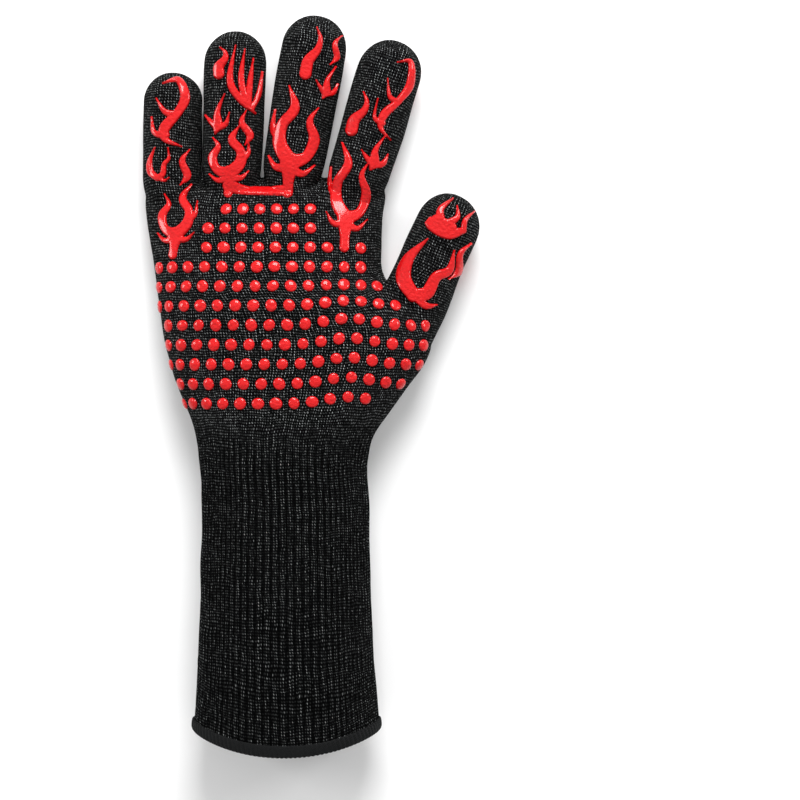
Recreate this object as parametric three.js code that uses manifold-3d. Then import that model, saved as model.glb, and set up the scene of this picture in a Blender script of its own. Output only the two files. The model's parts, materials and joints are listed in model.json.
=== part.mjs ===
// A heat resistant knitted glove for the right hand, lying on its back with the palm up.
// Millimetres. +Z is up out of the palm, +Y runs to the fingertips and +X to the thumb.
import * as THREE from 'three';
import { mergeVertices } from 'three/addons/utils/BufferGeometryUtils.js';
import Module from 'manifold-3d';

const wasm = await Module();
wasm.setup();

// Layers, measured inwards from the outside of the knit.
const GAP = 0.3;
const KNIT = 2.5;
const LINER = 1.5;
const PRINT = 1.2;
const LAYERS = {
  print: [-GAP - PRINT, -GAP],
  knit: [0, KNIT],
  liner: [KNIT + GAP, KNIT + GAP + LINER],
};

// The knit's back stands this high, on the silicone print under it.
const BACK_Z = GAP + PRINT;
// How much of each tube's round underside is pressed flat.
const FINGER_PRESS = 1.5;
const HAND_PRESS = 4;

const FINGER_SIDES = 14;
const HAND_SIDES = 26;
const SQUARENESS = 0.86;
const DOME_STEPS = [20, 42, 62, 80];
const FAR = 400;

// Hinges: where the glove folds. tilt turns the fold's axis from +X towards -Y.
// palmSide and backSide are half of the wedge that the fold needs on each side.
const KNUCKLE_WEDGE = 36;
const MIDDLE_WEDGE = 41;
const FINGER_FOLD_Z = 17;
const WRIST = { x: -13, y: -42, z: 25, tilt: 0, palmSide: 23.5, backSide: 16 };
const THUMB_FOLD = { x: 51.3, y: 38.3, z: 20, tilt: 40, palmSide: 26, backSide: 0 };

// Fingers: the root, the centre of the tip's dome, the half widths there, and the middle fold's distance.
const FINGERS = {
  little: { root: [-69.2, 101], tip: [-68.6, 139.4], halfWidths: [14.3, 14.8], halfDepth: 13, fold: 24 },
  ring: { root: [-39.4, 106], tip: [-37.6, 159.5], halfWidths: [14.7, 15.4], halfDepth: 13.7, fold: 31 },
  middle: { root: [-8.3, 109], tip: [2, 166.4], halfWidths: [15.2, 16.2], halfDepth: 14, fold: 33 },
  index: { root: [24.3, 104], tip: [39.5, 154.2], halfWidths: [15.2, 16.2], halfDepth: 14, fold: 31 },
  thumb: { root: [51.3, 38.6], tip: [68.6, 77.8], halfWidths: [17.3, 16], halfDepth: 15, fold: 27 },
};
// How far the thumb's fold reaches to each side of its middle, along its axis.
const THUMB_FOLD_SPAN = [-20, 30];
const ROOT_OVERLAP = 20;
// The slits between the fingers, at the knuckles.
const SLITS = [-FAR, -54.3, -24.1, 7.9, FAR];

// The hand's tube from the wrist to the knuckles: y, left edge, right edge, half depth.
const PALM = [
  [-60, -53, 29, 25.5],
  [-42, -54, 28, 25],
  [-28, -56, 31, 24],
  [-16, -60, 39, 23.5],
  [0, -67, 50.5, 23],
  [10, -69.8, 57.5, 22.8],
  [20, -72.3, 60.5, 22.5],
  [34, -74.5, 51, 22],
  [50, -76.5, 38, 20.5],
  [68, -79.5, 35.5, 18.5],
  [84, -81.8, 36, 17],
  [99, -82.8, 38.5, 15],
];
// The cuff's tube from its hem to the wrist, in the same terms.
const CUFF = [
  [-210, -57, 36, 29.5],
  [-181, -57, 35, 29],
  [-130, -54.5, 31, 27.5],
  [-91, -53.5, 29.5, 26.5],
  [-60, -53, 29, 25.5],
  [-20, -54, 28, 24.5],
];
// The hem: its edge is at this y at the sides of the cuff and bows outwards in the middle.
const HEM_Y = -169.5;
const HEM_BOW = 11;
const HEM_MIDDLE_X = -11;
const HEM_HALF_SPAN = 48;
const HEM_WIDTH = 4;
const HEM_STEPS = 6;

// Each finger segment's flame: half its width, and how far it sways to the sides.
const FLAME_HALF_WIDTHS = { base: 7, tip: 5.5 };
const FLAME_SWAY = 2.5;
const FLAME_STEPS = 6;
const FLAME_BLUNTNESS = 0.4;
// How far the flames stay from the folds, and how far they run into the tip's dome.
const FLAME_MARGINS = { root: 2, middle: 6, dome: 7 };

// Where the dots are printed, as an outline seen from the palm. They wrap down to this height at the sides.
const DOT_FIELD = [
  [-64, -17], [-79, 20], [-84, 48], [-84, 70], [-62, 78], [-44, 88],
  [8, 89], [16, 76], [38, 72], [44, 44], [66, 18], [40, -17],
];
const DOTS_DOWN_TO = 17;
// The back's dots stay on the part that is pressed flat.
const BACK_DOT_FIELD = [
  [-30, -15], [-48, 14], [-54, 48], [-56, 82], [-36, 87], [2, 87], [12, 70], [16, 44], [24, 12], [8, -15],
];

const KNIT_BLACK = { color: 0x25292b, roughness: 0.95 };
const LINER_GREY = { color: 0x3a3c3e, roughness: 1 };
const HEM_BLACK = { color: 0x17191a, roughness: 0.9 };
const SILICONE_RED = { color: 0xd8171c, roughness: 0.35 };

const radians = THREE.MathUtils.degToRad;

function toManifold(geometry) {
  const bare = new THREE.BufferGeometry();
  bare.setAttribute('position', geometry.getAttribute('position'));
  bare.setIndex(geometry.getIndex());
  const merged = mergeVertices(bare, 1e-4);
  const mesh = new wasm.Mesh({
    numProp: 3,
    vertProperties: new Float32Array(merged.getAttribute('position').array),
    triVerts: new Uint32Array(merged.getIndex().array),
  });
  return new wasm.Manifold(mesh);
}

function toMesh(name, solid, finish) {
  const mesh = solid.getMesh();
  const geometry = new THREE.BufferGeometry();
  geometry.setAttribute('position', new THREE.BufferAttribute(new Float32Array(mesh.vertProperties), 3));
  geometry.setIndex(new THREE.BufferAttribute(new Uint32Array(mesh.triVerts), 1));
  geometry.computeVertexNormals();
  const result = new THREE.Mesh(geometry, new THREE.MeshStandardMaterial(finish));
  result.name = name;
  return result;
}

// One ring of a tube: a rounded box section, pressed flat where it would go below the knit's back.
function ringPoints(ring, inset, sides) {
  const tilt = radians(ring.tilt);
  const squared = (v) => Math.sign(v) * Math.abs(v) ** SQUARENESS;
  const points = [];
  for (let i = 0; i < sides; i += 1) {
    const angle = (2 * Math.PI * i) / sides;
    const across = (ring.halfWidth - inset) * ring.shrink * squared(Math.cos(angle));
    const up = (ring.halfDepth - inset) * ring.shrink * squared(Math.sin(angle));
    const z = Math.max(ring.z + up, BACK_Z + inset);
    points.push([ring.x + across * Math.cos(tilt), ring.y - across * Math.sin(tilt), z]);
  }
  return points;
}

// A closed tube through rings, with a flat cap at its start and the point `end` at its other end.
function tube(rings, end, inset, sides) {
  const start = [rings[0].x, rings[0].y, rings[0].z];
  const positions = [start, ...rings.flatMap((ring) => ringPoints(ring, inset, sides)), end];
  const last = positions.length - 1;
  const faces = [];
  for (let i = 0; i < sides; i += 1) {
    const next = (i + 1) % sides;
    faces.push(0, 1 + i, 1 + next);
    for (let r = 0; r < rings.length - 1; r += 1) {
      const low = 1 + r * sides;
      const high = low + sides;
      faces.push(low + i, high + i, high + next, low + i, high + next, low + next);
    }
    const top = last - sides;
    faces.push(last, top + next, top + i);
  }
  const geometry = new THREE.BufferGeometry();
  geometry.setAttribute('position', new THREE.Float32BufferAttribute(positions.flat(), 3));
  geometry.setIndex(faces);
  return toManifold(geometry);
}

// The hand's and the cuff's tubes lie along Y. Only the palm's far end is closed, so only it is inset.
function handTube(table, inset, closedEnd) {
  const rings = table.map(([y, left, right, halfDepth], i) => ({
    x: (left + right) / 2,
    y: closedEnd && i === table.length - 1 ? y - inset : y,
    z: BACK_Z + halfDepth - HAND_PRESS,
    tilt: 0,
    halfWidth: (right - left) / 2,
    halfDepth,
    shrink: 1,
  }));
  const last = rings[rings.length - 1];
  return tube(rings, [last.x, last.y, last.z], inset, HAND_SIDES);
}

function fingerAxis(finger) {
  const dx = finger.tip[0] - finger.root[0];
  const dy = finger.tip[1] - finger.root[1];
  const length = Math.hypot(dx, dy);
  return { length, forward: [dx / length, dy / length], tilt: THREE.MathUtils.radToDeg(Math.atan2(dx, dy)) };
}

function pointAlong(finger, distance) {
  const { forward } = fingerAxis(finger);
  return [finger.root[0] + forward[0] * distance, finger.root[1] + forward[1] * distance];
}

// A finger's tube starts inside the palm and ends in a dome as long as the finger's half width.
function fingerTube(finger, inset) {
  const { length, tilt } = fingerAxis(finger);
  const [rootHalf, tipHalf] = finger.halfWidths;
  const z = BACK_Z + finger.halfDepth - FINGER_PRESS;
  const ringAt = (distance, shrink) => {
    const [x, y] = pointAlong(finger, distance);
    const share = THREE.MathUtils.clamp(distance / length / 0.5, 0, 1);
    const halfWidth = THREE.MathUtils.lerp(rootHalf, tipHalf, share);
    return { x, y, z, tilt, halfWidth, halfDepth: finger.halfDepth, shrink };
  };
  const rings = [inset - ROOT_OVERLAP, 0, length / 2, length].map((distance) => ringAt(distance, 1));
  const domeLength = tipHalf - inset;
  for (const degrees of DOME_STEPS) {
    const angle = radians(degrees);
    rings.push(ringAt(length + domeLength * Math.sin(angle), Math.cos(angle)));
  }
  return tube(rings, [...pointAlong(finger, length + domeLength), z], inset, FINGER_SIDES);
}

// A straight block with the given outline, from one height to another.
function block(outline, low, high) {
  const shape = new THREE.Shape(outline.map(([x, y]) => new THREE.Vector2(x, y)));
  const geometry = new THREE.ExtrudeGeometry(shape, { depth: high - low, bevelEnabled: false });
  geometry.translate(0, 0, low);
  return toManifold(geometry);
}

// All that lies on one side of a fold, less the wedge that lets it turn. Side 1 is towards the fingertips.
function besideFold(fold, side) {
  const palmReach = (FAR - fold.z) * Math.tan(radians(fold.palmSide));
  const backReach = (FAR + fold.z) * Math.tan(radians(fold.backSide));
  const outline = [
    [side * (GAP / 2 + backReach), -FAR - fold.z],
    [side * (GAP / 2), 0],
    [side * (GAP / 2 + palmReach), FAR - fold.z],
    [side * 3 * FAR, FAR - fold.z],
    [side * 3 * FAR, -FAR - fold.z],
  ];
  const shape = new THREE.Shape(outline.map(([forward, up]) => new THREE.Vector2(forward, up)));
  const geometry = new THREE.ExtrudeGeometry(shape, { depth: 2 * FAR, bevelEnabled: false });
  geometry.translate(0, 0, -FAR);
  const tilt = radians(fold.tilt);
  const forward = new THREE.Vector3(Math.sin(tilt), Math.cos(tilt), 0);
  const up = new THREE.Vector3(0, 0, 1);
  const axis = new THREE.Vector3(Math.cos(tilt), -Math.sin(tilt), 0);
  geometry.applyMatrix4(new THREE.Matrix4().makeBasis(forward, up, axis).setPosition(fold.x, fold.y, fold.z));
  return toManifold(geometry);
}

function knuckleFold(name) {
  if (name === 'thumb') return THUMB_FOLD;
  const [x, y] = FINGERS[name].root;
  return { x, y, z: FINGER_FOLD_Z, tilt: 0, palmSide: KNUCKLE_WEDGE, backSide: 0 };
}

function middleFold(name) {
  const finger = FINGERS[name];
  const [x, y] = pointAlong(finger, finger.fold);
  const z = name === 'thumb' ? THUMB_FOLD.z : FINGER_FOLD_Z;
  return { x, y, z, tilt: fingerAxis(finger).tilt, palmSide: MIDDLE_WEDGE, backSide: 0 };
}

// The hand with all five fingers, filled in.
function handSolid(inset) {
  let hand = handTube(PALM, inset, true);
  for (const finger of Object.values(FINGERS)) hand = hand.add(fingerTube(finger, inset));
  return hand;
}

// All that the folds at the fingers' roots take away from the palm.
function beyondRoots() {
  let beyond = beyondThumbFold();
  Object.keys(FINGERS).slice(0, SLITS.length - 1).forEach((name, i) => {
    const [left, right] = [SLITS[i], SLITS[i + 1]];
    const between = block([[left, 0], [right, 0], [right, FAR], [left, FAR]], -FAR, FAR);
    beyond = beyond.add(between.subtract(besideFold(knuckleFold(name), -1)));
  });
  return beyond;
}

// What the thumb's fold takes away: the thumb, and the wedge between the palm's edge and the thumb's fork.
function beyondThumbFold() {
  const [from, to] = THUMB_FOLD_SPAN;
  const tilt = radians(THUMB_FOLD.tilt);
  const corner = (along, forward) => [
    THUMB_FOLD.x + along * Math.cos(tilt) + forward * Math.sin(tilt),
    THUMB_FOLD.y - along * Math.sin(tilt) + forward * Math.cos(tilt),
  ];
  const wedge = block([corner(from, -to), corner(to, -to), corner(to, to), corner(from, to)], -FAR, FAR);
  const thumb = fingerTube(FINGERS.thumb, 2 * LAYERS.print[0]);
  return wedge.add(thumb).subtract(besideFold(THUMB_FOLD, -1));
}

function layer(solidAt, [outside, inside]) {
  return solidAt(outside).subtract(solidAt(inside));
}

// The cuff stops at the hem's edge, which bows outwards. shift moves that edge towards the wrist.
function aboveHem(shift) {
  const outline = [[FAR, FAR], [-FAR, FAR], [-FAR, HEM_Y + shift]];
  for (let i = 0; i <= HEM_STEPS; i += 1) {
    const share = (2 * i) / HEM_STEPS - 1;
    outline.push([HEM_MIDDLE_X + HEM_HALF_SPAN * share, HEM_Y + shift - HEM_BOW * (1 - share * share)]);
  }
  outline.push([FAR, HEM_Y + shift]);
  return block(outline, -FAR, FAR);
}

function cuffPiece(range) {
  return layer((inset) => handTube(CUFF, inset, false), range)
    .intersect(aboveHem(0))
    .intersect(besideFold(WRIST, -1));
}

// The hem's binding folds round the cuff's edge, outside the knit and inside the liner.
function hemBinding() {
  const cuff = (inset) => handTube(CUFF, inset, false);
  const outside = LAYERS.print[0];
  const inside = LAYERS.liner[1] + GAP + PRINT;
  const walls = cuff(outside).subtract(cuff(inside));
  const band = walls.intersect(aboveHem(outside)).subtract(aboveHem(HEM_WIDTH));
  const held = cuff(-GAP).subtract(cuff(LAYERS.liner[1] + GAP)).intersect(aboveHem(-GAP));
  return band.subtract(held);
}

function palmPiece(range) {
  return layer(handSolid, range).intersect(besideFold(WRIST, 1)).subtract(beyondRoots());
}

function dotsOnPalm() {
  return palmPiece(LAYERS.print).intersect(block(DOT_FIELD, DOTS_DOWN_TO, FAR));
}

function dotsOnBack() {
  return palmPiece(LAYERS.print).intersect(block(BACK_DOT_FIELD, -FAR, BACK_Z));
}

function fingerPiece(name, part, range) {
  const finger = layer((inset) => fingerTube(FINGERS[name], inset), range);
  if (part === 'tip') return finger.intersect(besideFold(middleFold(name), 1));
  return finger.intersect(besideFold(knuckleFold(name), 1)).intersect(besideFold(middleFold(name), -1));
}

// A flame's outline along the finger: wide at the start, swaying to both sides, with its point at the end.
function flameOutline(finger, [start, end], widest, sway) {
  const { forward } = fingerAxis(finger);
  const left = [];
  const right = [];
  for (let i = 0; i <= FLAME_STEPS; i += 1) {
    const share = i / FLAME_STEPS;
    const waist = 0.75 + 0.25 * Math.cos(4 * Math.PI * share);
    const half = widest * (1 - share ** 1.6) * waist + FLAME_BLUNTNESS;
    const offset = sway * Math.sin(2 * Math.PI * share);
    const [x, y] = pointAlong(finger, start + (end - start) * share);
    const beside = (across) => [x + across * forward[1], y - across * forward[0]];
    left.unshift(beside(offset - half));
    right.push(beside(offset + half));
  }
  return [...right, ...left];
}

function flame(name, part, onBack) {
  const finger = FINGERS[name];
  const spans = {
    base: [FLAME_MARGINS.root, finger.fold + FLAME_MARGINS.root],
    tip: [finger.fold + FLAME_MARGINS.middle, fingerAxis(finger).length + FLAME_MARGINS.dome],
  };
  const sway = onBack ? -FLAME_SWAY : FLAME_SWAY;
  const outline = flameOutline(finger, spans[part], FLAME_HALF_WIDTHS[part], sway);
  const midHeight = BACK_Z + finger.halfDepth - FINGER_PRESS;
  const side = onBack ? block(outline, -FAR, midHeight) : block(outline, midHeight, FAR);
  return fingerPiece(name, part, LAYERS.print).intersect(side);
}

const glove = new THREE.Group();
glove.name = 'heat_resistant_glove';
glove.add(toMesh('cuff_knit', cuffPiece(LAYERS.knit), KNIT_BLACK));
glove.add(toMesh('cuff_liner', cuffPiece(LAYERS.liner), LINER_GREY));
glove.add(toMesh('hem_binding', hemBinding(), HEM_BLACK));
glove.add(toMesh('palm_knit', palmPiece(LAYERS.knit), KNIT_BLACK));
glove.add(toMesh('palm_liner', palmPiece(LAYERS.liner), LINER_GREY));
glove.add(toMesh('palm_dots', dotsOnPalm(), SILICONE_RED));
glove.add(toMesh('back_dots', dotsOnBack(), SILICONE_RED));
for (const name of Object.keys(FINGERS)) {
  for (const part of ['base', 'tip']) {
    glove.add(toMesh(`${name}_${part}_knit`, fingerPiece(name, part, LAYERS.knit), KNIT_BLACK));
    glove.add(toMesh(`${name}_${part}_liner`, fingerPiece(name, part, LAYERS.liner), LINER_GREY));
    glove.add(toMesh(`${name}_${part}_palm_flame`, flame(name, part, false), SILICONE_RED));
    glove.add(toMesh(`${name}_${part}_back_flame`, flame(name, part, true), SILICONE_RED));
  }
}

// The origin is the middle of the box that holds the glove, at the height of what it lies on.
const box = new THREE.Box3().setFromObject(glove);
const middle = box.getCenter(new THREE.Vector3());
for (const mesh of glove.children) mesh.geometry.translate(-middle.x, -middle.y, -box.min.z);

export default glove;
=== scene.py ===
"""The looks of the heat resistant glove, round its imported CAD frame. Lengths are in millimetres."""

import json
import math

import bpy
import numpy as np
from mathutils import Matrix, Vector
from mathutils.bvhtree import BVHTree


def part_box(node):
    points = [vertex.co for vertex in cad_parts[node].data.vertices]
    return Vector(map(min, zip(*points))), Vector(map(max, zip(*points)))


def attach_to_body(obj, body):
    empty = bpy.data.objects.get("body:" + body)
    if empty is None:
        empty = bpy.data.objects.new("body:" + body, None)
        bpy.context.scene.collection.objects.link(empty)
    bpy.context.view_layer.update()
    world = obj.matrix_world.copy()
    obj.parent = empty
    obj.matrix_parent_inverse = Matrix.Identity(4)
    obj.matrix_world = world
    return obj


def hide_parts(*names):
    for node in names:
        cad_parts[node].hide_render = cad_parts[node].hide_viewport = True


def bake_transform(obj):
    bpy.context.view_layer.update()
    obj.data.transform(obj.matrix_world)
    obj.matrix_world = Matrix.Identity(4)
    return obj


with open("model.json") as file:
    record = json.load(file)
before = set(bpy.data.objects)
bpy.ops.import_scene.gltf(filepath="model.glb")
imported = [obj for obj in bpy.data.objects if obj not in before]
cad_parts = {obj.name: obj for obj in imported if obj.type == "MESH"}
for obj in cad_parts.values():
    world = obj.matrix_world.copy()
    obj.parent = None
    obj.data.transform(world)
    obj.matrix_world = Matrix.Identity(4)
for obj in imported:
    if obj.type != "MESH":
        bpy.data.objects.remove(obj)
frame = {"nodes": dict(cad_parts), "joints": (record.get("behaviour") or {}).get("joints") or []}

MM = 1000.0
SEED = 7
JOINTS = {joint["name"]: joint for joint in frame["joints"]}
UP = np.array([0.0, 0.0, 1.0])

# Layers of the glove, measured inwards from the outside of the knit.
KNIT_LAYER = (0.0, 2.5)
LINER_LAYER = (2.8, 4.3)
PRINT_HEIGHT = 1.2

# The hand's and the cuff's tube, measured from the wrist's fold: forward, left edge, right edge, half depth.
HAND_ROWS = [
    (-168, -44, 49, 29.5),
    (-139, -44, 48, 29),
    (-88, -41.5, 44, 27.5),
    (-49, -40.5, 42.5, 26.5),
    (-18, -40, 42, 25.5),
    (0, -41, 41, 25),
    (14, -43, 44, 24),
    (26, -47, 52, 23.5),
    (42, -54, 63.5, 23),
    (52, -56.8, 70.5, 22.8),
    (62, -59.3, 73.5, 22.5),
    (76, -61.5, 69, 22),
    (92, -63.5, 51, 20.5),
    (110, -66.5, 48.5, 18.5),
    (124, -68.8, 49, 16.8),
    (134, -69.4, 50.5, 14),
    (143, -67, 49, 8),
]
SQUARENESS = 0.86
# The hand and the fingers lie on their back: their sections are pressed flat there by this much.
HAND_PRESS = 4.0
FINGER_PRESS = 1.5
# Each finger's tube starts this far inside the hand, narrowed by this share, and the thumb's is raised there.
ROOT_OVERLAP = 20.0
ROOT_TAPER = 0.3
THUMB_TAPER = 0.04
THUMB_LIFT = 5.0
HAND_SIDES = 72
FINGER_SIDES = 40
RING_STEPS = 4
FINGER_RINGS = 16
# A finger's root is at most this much narrower than its tip, and widens over this share of its length.
WAIST = 1.3
WAIST_SHARE = 0.5
# The root's width is measured on this much of the base's CAD.
ROOT_SLICE = 1.0
DOME_ANGLES = np.radians([12, 24, 36, 48, 60, 70, 80])

# The skin is remeshed from tubes that are this much too thin, so that neighbouring fingers don't fuse.
THIN = 1.0
VOXEL = 0.9
SMOOTHING = 6
SMOOTHING_FACTOR = 0.5
# The four fingers in a row are kept this far apart before the skin is thickened.
FINGER_ROW = ("little", "ring", "middle", "index")
SLIT = 2.8
# In the sharpest forks the thickened skin crosses itself. Where the cosine between its normal and the thin
# skin's is below this, the thin skin's normal is kept.
CRUSHED = 0.5

# The zone round each fold, measured forwards from the knuckle's or the wrist's fold.
WRIST_ZONE = (-22.0, 22.0)
KNUCKLE_ZONE = (-8.0, 14.0)
ROOT_ZONES = {"little": KNUCKLE_ZONE, "ring": KNUCKLE_ZONE, "middle": KNUCKLE_ZONE, "index": KNUCKLE_ZONE,
              "thumb": (-4.0, 18.0)}
MIDDLE_REACH = 13.0
THUMB_MARGIN = 2.2
THUMB_FORK = 8.0

# The knit: a row's height, and the stitches round a quarter of each tube.
COURSE = 1.35
HAND_QUARTER = 54.0
FINGER_QUARTERS = {"little": 19.0, "ring": 20.0, "middle": 20.5, "index": 20.5, "thumb": 21.5}
# Between these shares of a tube's half width, its stitches start to follow its side down.
SIDE_SHARE = (0.35, 0.85)
# The hand's stitches are laid out as if half its depth were at least this.
KNIT_DEPTH = 15.0
# Where a finger's stitches take over from the palm's, along the finger from its root.
ROOT_MIX = (-24.0, 2.0)
THUMB_MIX = (-22.0, 22.0)
# The cuff's ribs: stitches to a rib, height, and where they fade out, forward of the wrist's fold.
RIB_WALES = 3.0
RIB_HEIGHT = 0.5
RIB_FADE = (4.0, 28.0)

# The soft unevenness of the cloth is a sum of slow waves, which fades out over the flat back.
RIPPLE = 0.35
RIPPLE_WAVES = 9
RIPPLE_WAVELENGTHS = (14.0, 45.0)
RIPPLE_PHASES = (0.0, 6.0)
RIPPLE_SCALE = 5.0
RELIEF_RISE = 8.0

# The hem bows outwards in its middle, and the bow fades away up the cuff.
HEM_BOW = 11.0
HEM_HALF_SPAN = 48.0
HEM_FADE = 70.0
HEM_STITCH = 2.1
HEM_RIDGE = 0.4
HEM_SLANT = 0.07
HEM_SIDES = 900
HEM_CURVE_STEPS = 3
HEM_CORE = 2.0
STRAND_PITCH = 0.5
# The binding's section: distance in from the knit's outside, and distance up the cuff from its edge.
HEM_OUTSIDE = [(-0.3, 4.1), (-1.1, 3.4), (-1.3, 1.6), (-1.2, -0.2), (-0.3, -1.2), (2.1, -1.5),
               (4.5, -1.2), (5.4, -0.2), (5.6, 1.6), (5.4, 3.4), (4.6, 4.1)]
HEM_INSIDE = [(4.5, -0.1), (-0.2, -0.1)]

# Grip dots: rows from the fingers down, each with its own left-hand and right-hand limits across the palm.
DOT_RADIUS = 2.95
DOT_PITCH = 8.3
DOT_SPREAD = 0.1
DOT_SPREAD_ROWS = 5
ROW_PITCH = 9.59
FIRST_ROW = 126.6
FIRST_COLUMN = -3.0
DOT_LEAN = 0.084
DOT_LIMITS = [(-28, 17), (-47, 33), (-99, 43), (-99, 43), (-99, 54), (-99, 64), (-99, 77), (-99, 76),
              (-99, 73), (-99, 68), (-99, 50)]
DOT_COLUMNS = 12
DOT_SIDES = 24
DOT_RINGS = 5
DOT_ROUNDNESS = 0.7
DOT_SIZES = (0.94, 1.05)
DOT_STRETCH = (0.94, 1.06)
DOT_CLEARANCE = 3.6
ARCH_HEIGHT = 3.3
ARCH_MIDDLE = 33.0
ARCH_REACH = 16.0
ARCH_ROWS = (3, 6)
BACK_DOT_SPAN = 40.0

# Flames, as strokes of (across, along, radius). Across and radius are in half widths, along in heights.
HOOK = [
    [(0.65, 0.0, 0.04), (-0.2, 0.1, 0.2), (-0.25, 0.26, 0.34), (0.4, 0.47, 0.27), (0.78, 0.7, 0.3),
     (0.4, 0.95, 0.2), (-0.4, 0.9, 0.03)],
    [(0.35, 0.45, 0.24), (-0.25, 0.49, 0.18), (-0.72, 0.68, 0.03)],
    [(-0.2, 0.16, 0.26), (-0.8, 0.2, 0.16), (-0.95, 0.42, 0.03)],
]
DROP = [
    [(-0.3, 0.18, 0.6), (-0.25, 0.4, 0.55), (0.35, 0.62, 0.36), (0.4, 0.82, 0.22), (-0.05, 1.0, 0.04)],
]
FORK = [
    [(0.1, 0.08, 0.3), (-0.55, 0.24, 0.34), (-0.75, 0.55, 0.24), (-0.5, 0.95, 0.04)],
    [(0.1, 0.08, 0.3), (0.5, 0.22, 0.3), (0.5, 0.5, 0.24), (0.8, 0.7, 0.18), (0.6, 1.0, 0.03)],
    [(0.1, 0.1, 0.2), (0.7, 0.04, 0.16), (1.05, 0.14, 0.03)],
]
ARROW = [
    [(0.0, 0.1, 0.1), (0.1, 0.3, 0.42), (-0.05, 0.6, 0.24), (0.3, 1.0, 0.04)],
    [(0.1, 0.22, 0.3), (-0.5, 0.36, 0.2), (-1.0, 0.5, 0.03)],
    [(0.1, 0.22, 0.3), (0.7, 0.34, 0.24), (0.85, 0.6, 0.03)],
]
CROWN = [
    [(-0.85, 0.4, 0.14), (-0.4, 0.22, 0.27), (0.35, 0.2, 0.28), (0.85, 0.4, 0.15)],
    [(-0.35, 0.38, 0.25), (0.35, 0.36, 0.25)],
    [(-0.85, 0.4, 0.14), (-0.9, 0.56, 0.12), (-0.55, 0.84, 0.03)],
    [(-0.2, 0.4, 0.24), (-0.35, 0.64, 0.16), (-0.08, 0.98, 0.03)],
    [(0.15, 0.4, 0.2), (0.4, 0.62, 0.14), (0.2, 0.86, 0.03)],
    [(0.85, 0.4, 0.14), (0.75, 0.64, 0.12), (0.95, 0.92, 0.03)],
]
BLAZE = [
    [(0.1, 0.0, 0.27), (0.05, 0.12, 0.28), (0.0, 0.28, 0.5)],
    [(0.0, 0.28, 0.4), (-0.55, 0.44, 0.34), (-0.6, 0.62, 0.27), (-0.2, 0.8, 0.24), (-0.6, 1.0, 0.03)],
    [(0.0, 0.28, 0.4), (0.6, 0.36, 0.26), (0.8, 0.54, 0.26), (0.5, 0.7, 0.16), (0.75, 0.84, 0.03)],
    [(-0.55, 0.46, 0.2), (-0.95, 0.58, 0.14), (-1.0, 0.76, 0.03)],
    [(0.0, 0.24, 0.28), (-0.55, 0.22, 0.16), (-0.95, 0.32, 0.03)],
    [(0.1, 0.22, 0.26), (0.6, 0.2, 0.15), (1.0, 0.3, 0.03)],
]
BRAND = [
    [(0.7, 0.0, 0.08), (-0.2, 0.2, 0.24), (-0.8, 0.48, 0.24), (-0.55, 1.0, 0.03)],
    [(0.2, 0.1, 0.2), (-0.15, 0.5, 0.22), (0.0, 0.95, 0.03)],
    [(0.3, 0.1, 0.2), (0.35, 0.45, 0.2), (0.5, 0.82, 0.03)],
    [(0.5, 0.06, 0.16), (0.85, 0.3, 0.16), (1.0, 0.64, 0.03)],
]
STREAK = [
    [(-0.2, 0.0, 0.04), (0.5, 0.28, 0.55), (-0.3, 0.66, 0.45), (0.4, 1.0, 0.04)],
]
# Where the flames are: across and along the finger from its root, half width (negative when mirrored),
# height, and lean in degrees.
FLAMES = {
    "little": [(HOOK, -0.5, 15, 9.5, 35, 0), (FORK, -7, -2, 6, 17, 8), (STREAK, 6, -4, 4, 18, 6),
               (BLAZE, 3.5, -39, -9.5, 36, 2)],
    "ring": [(DROP, -5, 43, 5.5, 16, -6), (BRAND, 5.5, 27, 8.5, 33, 0), (ARROW, -8, 14, 6.5, 22, 6),
             (STREAK, 8, 11, 4, 17, -8), (BLAZE, 0.5, -13, -10, 33, -4)],
    "middle": [(DROP, 0.5, 38, 6, 29, 0), (STREAK, 10.5, 50, 3, 16, 4), (ARROW, 9, 31, 5.5, 19, 6),
               (BLAZE, -1, -16, 12, 52, 0)],
    "index": [(HOOK, 6, 19, 7.5, 42, 0), (DROP, -7, 14, 6, 24, -4), (ARROW, 5.5, 0, 7, 20, 0),
              (BLAZE, 3.5, -39, 10.5, 52, -10)],
    "thumb": [(CROWN, -2, 34, 12, 22, 0), (FORK, -3, 1, 13, 32, 6), (STREAK, 12, 18, 3.6, 21, 2)],
}
# A strip of print joins the ring finger's root flame to the middle finger's: across and along the ring finger
# from its root, and radius.
BRIDGE = [(0, -9.5, 3.4), (7, -11.2, 2.4), (17, -11.4, 2.2), (24, -11.0, 2.6), (31, -11.0, 2.8)]
STROKE_WEIGHT = 0.84
STROKE_STEPS = 7
TIP_RADIUS = 0.45
# The flames are cut from a grid over each finger: left, right, low and high edges from its root, and spacing.
FLAME_WINDOW = (-21.0, 30.0, -44.0, 76.0)
FLAME_CELL = 0.35
FLAME_BEVEL = 1.0
PRINT_SUNK = 0.4
# The outline's points are moved onto the flames' edge, by at most this much. Flat places count as this steep.
EDGE_SHIFT = FLAME_CELL * 0.7
LEAST_SLOPE = 0.5
# A distance past the end of everything, and the least length that is divided by.
FAR = 500.0
TINY = 1e-9
# Hard edges of pieces without normals of their own are those sharper than this.
SHARP_ANGLE = math.radians(55)

# The view: straight down on the palm. The picture is VIEW_WIDTH wide at the height of the fingers' middles.
VIEW_CENTRE = (44.4, -9.8)
VIEW_HEIGHT = 14.0
VIEW_WIDTH = 400.0
VIEW_LENS = 100.0
SENSOR = 36.0

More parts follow.
